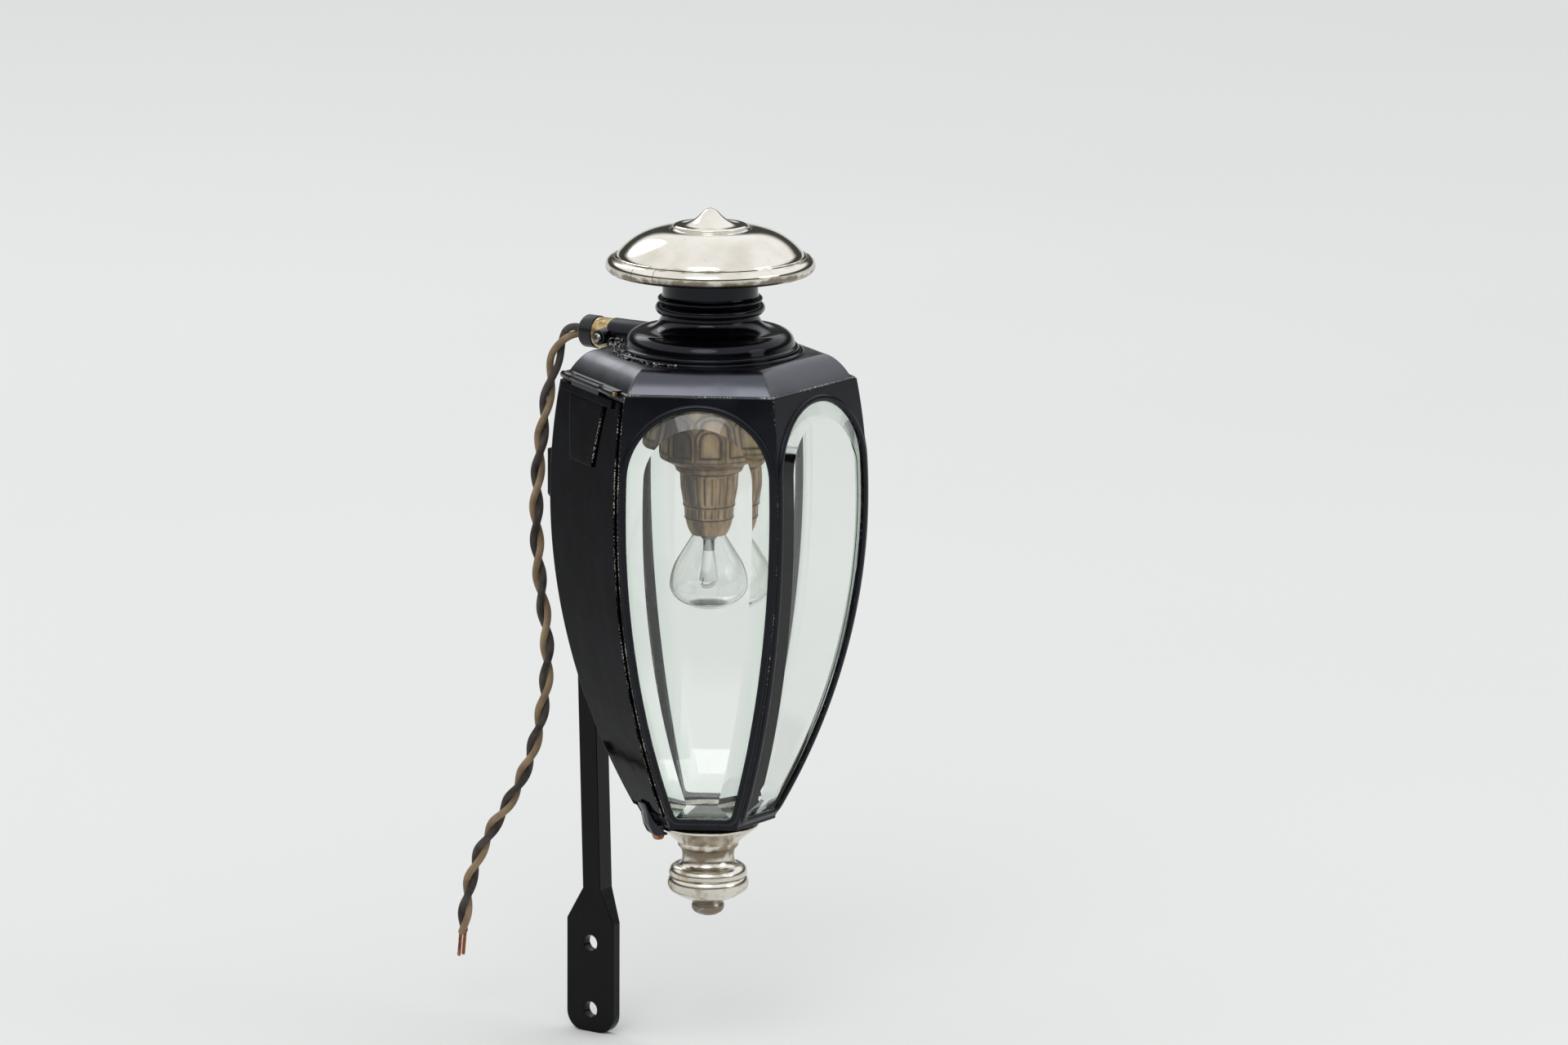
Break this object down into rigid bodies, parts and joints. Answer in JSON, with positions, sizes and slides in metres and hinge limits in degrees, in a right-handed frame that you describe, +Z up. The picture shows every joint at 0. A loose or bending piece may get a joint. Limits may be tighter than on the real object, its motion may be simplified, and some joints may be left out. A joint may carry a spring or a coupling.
{
  "type": "carriage-style car side lamp",
  "caption": "Six-sided side lamp with bevelled bent panes, domed chimney cap, top-hinged rear door and bulb, on a square lamp iron.",
  "frame": {"origin": "middle of the two bolt holes of the lamp iron's palm, on the palm's mating face", "axes": "+Z up along the lamp's axis, -Y forward out of the main pane, -X out of the palm's mating face"},
  "size_m": [0.1648, 0.2332, 0.4471],
  "materials": {
    "black_enamel": "gloss stoved black enamel, worn at the edges",
    "black_iron": "satin black paint on forged iron",
    "nickel_plate": "polished nickel plate",
    "plate_glass": "clear bent plate glass with ground and polished bevels",
    "bulb_glass": "thin clear blown glass",
    "silvered_sheet": "silvered sheet, dulled and stained",
    "brass": "bright brass",
    "tarnished_brass": "dull tarnished brass",
    "copper": "bare copper",
    "lamp_wire": "dark wire and glass press",
    "black_fibre": "moulded black insulating fibre",
    "cotton_braid": "twisted pair in faded cotton braid"
  },
  "bodies": {
    "lamp": {"bulb": "bulb_glass", "bulb_holder": "tarnished_brass", "bulb_stem": "lamp_wire", "cap": "nickel_plate", "cap_button": "nickel_plate", "chimney": "black_enamel", "clamp_screw": "black_iron", "door_frame": "black_enamel", "finial": "nickel_plate", "flex": "cotton_braid", "flex_tails": "copper", "foot_pan": "silvered_sheet", "front_glass": "plate_glass", "front_window": "black_enamel", "gallery": "tarnished_brass", "hinge_pin": "brass", "iron_socket": "black_iron", "lamp_iron": "black_iron", "left_glass": "plate_glass", "left_window": "black_enamel", "mount_panel": "black_enamel", "plug_cap": "black_fibre", "plug_ring": "brass", "rear_glass": "plate_glass", "rear_liner": "silvered_sheet", "rear_window": "black_enamel", "right_glass": "plate_glass", "right_window": "black_enamel", "roof": "black_enamel", "roof_hinge": "black_enamel", "set_screw": "black_iron", "socket_tube": "black_enamel"},
    "door": {"door": "black_enamel", "door_leaf": "black_enamel", "door_catch": "black_enamel", "catch_rivet": "copper"}
  },
  "joints": [
    {"name": "door_hinge", "type": "hinge", "parent": "lamp", "child": "door", "pos_m": [-0.06139, -0.04343, 0.3303], "axis": [0.5, 0.866, 0], "range_deg": [0, 100]}
  ]
}
